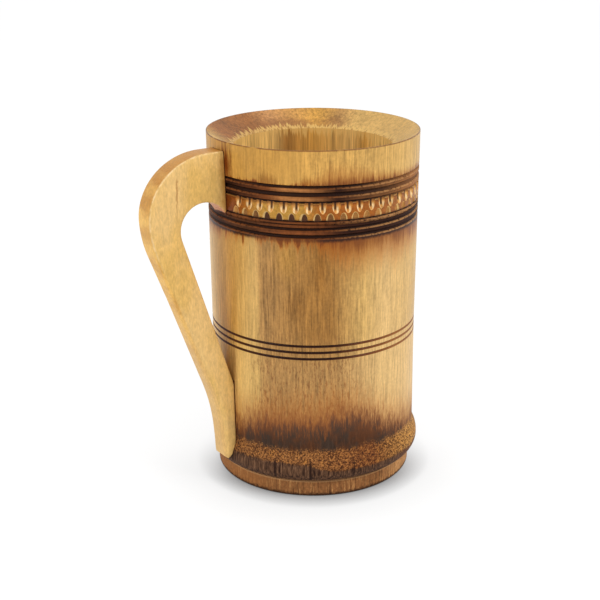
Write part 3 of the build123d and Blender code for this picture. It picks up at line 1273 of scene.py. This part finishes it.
def plank_edges():
    """Inner and outer edge of the plank, from its root round to its tip, in the plank's own plane."""
    top = handle_top - lean_height
    tip = tip_height - lean_height
    crown = (crown_start, top - crown_height)
    ease = (crown_end - ease_radius, crown[1])
    arch = (arch_distance, arch_height - lean_height)
    knee = (knee_distance, tip + knee_rise)
    toe = (toe_distance, tip)
    tip_start = (toe_distance - tip_flat, tip)
    tip_end = (tip_start[0] - tip_curve_width, tip + tip_curve_rise)
    outer_slope = slope_to_arc(knee, ease, ease_radius)
    inner_slope = slope_to_arc((wall_radius, tip + leg_join_rise), arch, arch_radius)
    outer = [(root_radius, arch[1]), (root_radius, top)]
    outer += arc_points(crown, (crown_end - crown_start, crown_height), 90, 0, crown_steps)
    outer += round_points(ease, ease_radius, 0, -outer_slope, ease_steps)[1:]
    outer += rounded_corner(outer[-1], knee, toe, knee_radius, knee_steps)
    outer += rounded_corner(knee, toe, tip_start, toe_round, toe_steps)
    inner = round_points(arch, arch_radius, 180, -inner_slope, crown_steps)
    sunk = tip_end[0]
    inner.append((sunk, inner[-1][1] - (inner[-1][0] - sunk) / tan(radians(inner_slope))))
    tip_curve = (tip_curve_width, tip_curve_rise)
    inner += arc_points((tip_start[0], tip_end[1]), tip_curve, 180, 270, knee_steps)
    return inner, outer, arch, inner_slope


def walk(line, count):
    """Points at even steps along a line, with both ends."""
    lengths = [hypot(x1 - x0, y1 - y0) for (x0, y0), (x1, y1) in zip(line, line[1:])]
    total = sum(lengths)
    points = []
    for step in range(count + 1):
        left = total * step / count
        place = 0
        while place < len(lengths) - 1 and left > lengths[place]:
            left -= lengths[place]
            place += 1
        share = min(left / lengths[place], 1.0)
        (x0, y0), (x1, y1) = line[place], line[place + 1]
        points.append((x0 + share * (x1 - x0), y0 + share * (y1 - y0)))
    return points


def plank_stations():
    """Pairs of inner and outer points across the plank: spokes round the arch, then down the leg."""
    inner, outer, arch, inner_slope = plank_edges()

    def turn_of(point):
        """Direction of a point from the arch's centre, in degrees."""
        return degrees(atan2(point[1] - arch[1], point[0] - arch[0]))

    stations = []
    place = 0
    for spoke in range(spoke_count + 1):
        turn = 180 - (180 + inner_slope) * spoke / spoke_count
        while turn_of(outer[place + 1]) > turn:
            place += 1
        first, second = outer[place], outer[place + 1]
        share = (turn_of(first) - turn) / (turn_of(first) - turn_of(second))
        hit = (first[0] + share * (second[0] - first[0]), first[1] + share * (second[1] - first[1]))
        bow = (arch[0] + arch_radius * cos(radians(turn)), arch[1] + arch_radius * sin(radians(turn)))
        stations.append((bow, hit))
    bow_end = stations[-1][0]
    leg_inner = [bow_end]
    leg_inner += [point for point in inner if point[1] < bow_end[1] and point[0] < wall_radius + arch_radius]
    leg_outer = [stations[-1][1]] + outer[place + 1:]
    return stations + list(zip(walk(leg_inner, leg_steps), walk(leg_outer, leg_steps)))[1:]


def on_plank(out, up, forward):
    """Point in metres from a place in the leaning plank: out from the axis, up it, and towards the front."""
    lean = radians(handle_lean)
    height = lean_height + up * cos(lean) + forward * sin(lean)
    return Vector((-out, up * sin(lean) - forward * cos(lean), height)) * MM


def plank_section(inner, outer):
    """Ring of points round the plank at one station: a rounded oblong with gently domed broad faces."""
    width = hypot(outer[0] - inner[0], outer[1] - inner[1])
    level = (inner[1] + outer[1]) / 2 + lean_height
    near_tip = max(0, 1 - (level - tip_height) / tip_ease_rise)
    half = handle_thickness / 2 * (1 - tip_ease_share * near_tip ** 2)
    softness = min(max((soft_start - level) / (soft_start - soft_end), 0), 1)
    limit = arris_limit * width
    outer_round = min(crisp_arris + softness * (soft_arris - crisp_arris), limit)
    inner_round = min(crisp_arris, limit)
    run = width - outer_round - inner_round
    lanes = [run * lane / lane_count for lane in range(1, lane_count)]
    oblong = round_points((width - outer_round, half - outer_round), outer_round, 90, 0, outer_arris_steps)
    oblong += round_points((width - outer_round, outer_round - half), outer_round, 0, -90, outer_arris_steps)
    oblong += [(width - outer_round - lane, -half) for lane in lanes]
    oblong += round_points((inner_round, inner_round - half), inner_round, -90, -180, inner_arris_steps)
    oblong += round_points((inner_round, half - inner_round), inner_round, 180, 90, inner_arris_steps)
    oblong += [(inner_round + lane, half) for lane in lanes]
    ring = []
    for along, forward in oblong:
        share = along / width
        dome = 1 + plank_dome / half * 4 * share * (1 - share)
        out = inner[0] + share * (outer[0] - inner[0])
        up = inner[1] + share * (outer[1] - inner[1])
        ring.append(on_plank(out, up, forward * dome))
    return ring


def loft(name, rings):
    """Skin through rings of points: each ring is extruded from the one before, then set to its own shape."""
    piece = draw_line(name, rings[0])
    bpy.ops.mesh.edge_face_add()
    mesh = bmesh.from_edit_mesh(piece.data)
    for vertex in mesh.verts:
        vertex.co = min(rings[0], key=lambda point: (point - vertex.co).length)
    places = rings[0]
    for ring in rings[1:]:
        bpy.ops.mesh.extrude_region()
        mesh = bmesh.from_edit_mesh(piece.data)
        raised = {tuple(vertex.co): vertex for vertex in mesh.verts if vertex.select}
        vertices = [raised[tuple(place)] for place in places]
        for vertex, point in zip(vertices, ring):
            vertex.co = point
        bmesh.update_edit_mesh(piece.data)
        places = ring
    close_skin()
    return piece


def make_handle():
    """The plank handle: lofted round its outline, then coped to the wall."""
    plank = loft("plank_handle", [plank_section(*station) for station in plank_stations()])
    plank.data.materials.append(handle_wood("varnished_handle_wood"))
    culm = [(0, 0), (foot_radius + glue_thickness, 0)]
    culm += shoulder_points(glue_thickness)
    culm.append((waist_radius + glue_thickness, waist_height))
    culm.append((rim_radius + glue_thickness, cup_height))
    culm.append((0, cup_height))
    coping = turn_on_axis("coping_tool", culm)
    coping.data.materials.append(plank.data.materials[0])
    cut_away(plank, coping)
    smooth(plank, plank_crisp_angle)
    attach(plank, "root")
    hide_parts("handle")


def dress_solids():
    """Finishes for the solids that stay as they are."""
    finishes = {
        "upper_glue": glue_and_seam_shade("upper_glue_and_seam_shade"),
        "lower_glue": glue_and_seam_shade("lower_glue_and_seam_shade"),
        "upper_dowels": dowel_wood("upper_dowel_wood"),
        "lower_dowel": dowel_wood("lower_dowel_wood"),
    }
    for node, material in finishes.items():
        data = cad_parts[node].data
        data.materials.clear()
        data.materials.append(material)


# Stage


def lay_floor():
    """White floor whose glow is darkened round the cup by ambient occlusion, a painted shadow that grows
    ahead of the axis; the paper under it keeps the lamps' shadow.
    """
    deselect_all()
    bpy.ops.mesh.primitive_plane_add(size=floor_size, location=(0, 0, 0))
    floor = bpy.context.object
    floor.name = "white_floor"
    finish = Finish("white_floor_paper", Base_Color=floor_grey, Roughness=0.9, Specular_IOR_Level=0.0)
    spot = Round(finish)
    ahead = spot.direction.math("COSINE", spot.direction * (pi / 180), 0.0)
    front = rise(spot.radius * ahead, *floor_front)
    near, far = [
        finish.node("ShaderNodeAmbientOcclusion", {"samples": shadow_samples}, {"Distance": distance}, "AO")
        for distance in (near_shadow, far_shadow)
    ]
    shade = 1 - near * far.math("POWER", far, shadow_bend)
    open_sky = 1 - shade * (back_shadow + (1 - back_shadow) * front)
    glow = finish.node("ShaderNodeEmission", {}, {"Color": (1, 1, 1, 1), "Strength": floor_glow * open_sky})
    paper = Field(finish, finish.shader.outputs[0])
    mixed = finish.node("ShaderNodeMixShader", {}, {0: glow_share * finish.seen(), 1: paper, 2: glow})
    finish.feed(finish.tree.nodes["Material Output"].inputs["Surface"], mixed)
    floor.data.materials.append(finish.material)


def light_stage():
    """Even white surroundings, a large soft lamp from the right front and a weaker one from the left."""
    surroundings = Surroundings("white_surroundings")
    bpy.context.scene.world = surroundings.world
    strength = surroundings.tree.nodes["Background"].inputs["Strength"]
    surroundings.feed(strength, bounced_light + (1 - bounced_light) * surroundings.seen())
    for name, direction, distance, height, size, power in lamps:
        data = bpy.data.lights.new(name, "AREA")
        data.shape = "DISK"
        data.size = size
        data.energy = power
        lamp = bpy.data.objects.new(name, data)
        bpy.context.scene.collection.objects.link(lamp)
        turn = radians(direction + front_direction)
        place = Vector((distance * cos(turn), distance * sin(turn), height))
        aim = Vector((0, 0, cup_height * MM / 2)) - place
        turned = aim.to_track_quat("-Z", "Y").to_matrix().to_4x4()
        lamp.matrix_world = Matrix.Translation(place) @ turned


def place_camera():
    """Camera at the photograph's viewing angle."""
    data = bpy.data.cameras.new("photo_camera")
    data.sensor_width = camera_sensor
    data.lens = camera_lens
    camera = bpy.data.objects.new("photo_camera", data)
    bpy.context.scene.collection.objects.link(camera)
    front = radians(front_direction)
    place = Vector((camera_distance * cos(front), camera_distance * sin(front), camera_height))
    turn = Matrix.Rotation(radians(camera_turn), 4, "Z")
    tilt = Matrix.Rotation(radians(90 - camera_dip), 4, "X")
    roll = Matrix.Rotation(radians(camera_roll), 4, "Z")
    camera.matrix_world = Matrix.Translation(place) @ turn @ tilt @ roll
    bpy.context.scene.camera = camera


make_cup()
make_handle()
dress_solids()
lay_floor()
light_stage()
place_camera()
bpy.context.scene.view_settings.view_transform = "Standard"
